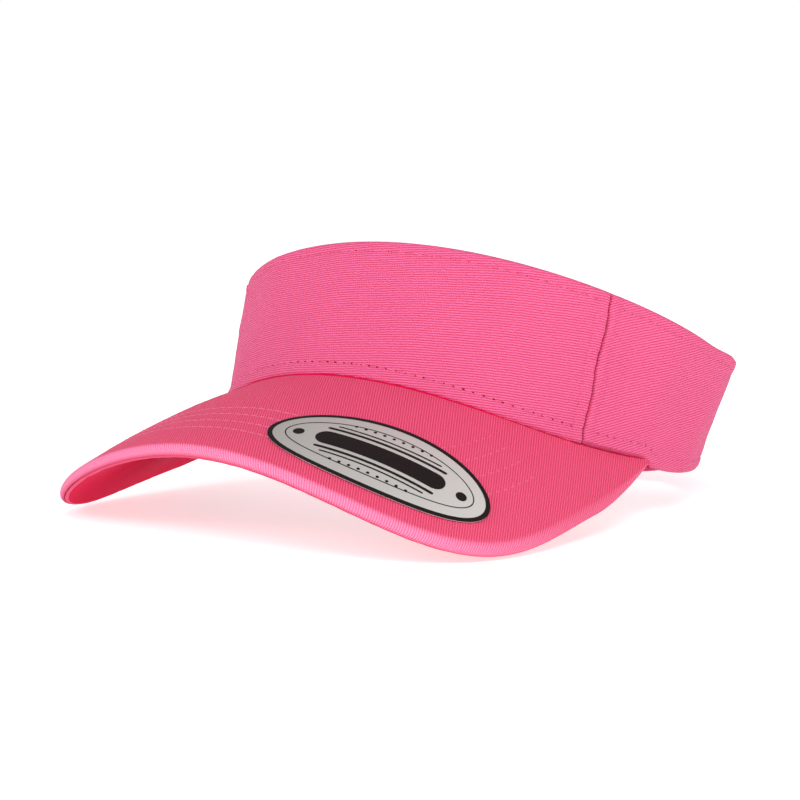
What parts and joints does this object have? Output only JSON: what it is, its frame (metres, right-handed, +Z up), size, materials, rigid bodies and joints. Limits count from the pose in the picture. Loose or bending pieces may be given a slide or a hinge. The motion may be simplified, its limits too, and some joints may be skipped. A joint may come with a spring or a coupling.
{
  "type": "sun visor",
  "caption": "Open-crowned pink cotton twill sun visor with a curved stiff bill, padded sweatband and hook-and-loop back closure.",
  "frame": {"origin": "under the middle of the visor's box, on the table it stands on", "axes": "+Z up as it stands on a table on the bill's two side edges and the closure's lower edge; the bill points to -Y; +X is the wearer's left"},
  "size_m": [0.183, 0.219, 0.0876],
  "materials": {
    "crown_twill": "pink cotton twill",
    "bill_twill": "pink cotton twill, ribs square to the bill's edge",
    "under_twill": "deep pink cotton twill",
    "lining": "pink plain-weave lining",
    "buckram": "stiffened open-weave backing",
    "sweatband": "soft brushed cotton",
    "foam": "thin open-cell foam",
    "tape": "woven seam tape",
    "thread": "polyester sewing thread",
    "board": "stiff polyethylene sheet",
    "hook": "woven tape with moulded hooks",
    "loop": "napped loop tape",
    "foil": "satin silver film",
    "print": "black print",
    "label": "blank woven satin label"
  },
  "bodies": {
    "crown": {"front_panel": "crown_twill", "front_backing": "buckram", "front_lining": "lining", "left_temple_panel": "crown_twill", "right_temple_panel": "crown_twill", "left_temple_lining": "lining", "right_temple_lining": "lining", "left_seam_tape": "tape", "right_seam_tape": "tape", "sweatband_foam": "foam", "sweatband_cover": "sweatband", "bill_top_cover": "bill_twill", "bill_board": "board", "bill_bottom_cover": "under_twill", "bill_stitching": "thread", "front_stitching": "thread", "temple_stitching": "thread", "sticker_foil": "foil", "sticker_print": "print", "inner_label": "label"},
    "left_wing": {"left_side_panel": "crown_twill", "left_side_lining": "lining", "strap_anchor": "crown_twill"},
    "right_wing": {"right_side_panel": "crown_twill", "right_side_lining": "lining", "loop_strap": "crown_twill", "loop_pile": "loop"},
    "strap_flap": {"closure_strap": "crown_twill", "closure_strap_lining": "lining", "hook_patch": "hook"}
  },
  "joints": [
    {"name": "left_spread", "type": "hinge", "parent": "crown", "child": "left_wing", "pos_m": [0.08568, 0.02494, 0.03574], "axis": [-0.1761, -0.3039, -0.9363], "range_deg": [0, 12]},
    {"name": "right_spread", "type": "hinge", "parent": "crown", "child": "right_wing", "pos_m": [-0.08568, 0.02494, 0.03574], "axis": [-0.1761, 0.3039, 0.9363], "range_deg": [0, 12]},
    {"name": "strap_peel", "type": "hinge", "parent": "left_wing", "child": "strap_flap", "pos_m": [0.0529, 0.08631, 0.02004], "axis": [-0.0112, -0.3382, -0.941], "range_deg": [0, 120]}
  ],
  "couplings": [
    {"joint": "right_spread", "follows": "left_spread", "ratio": 1}
  ]
}
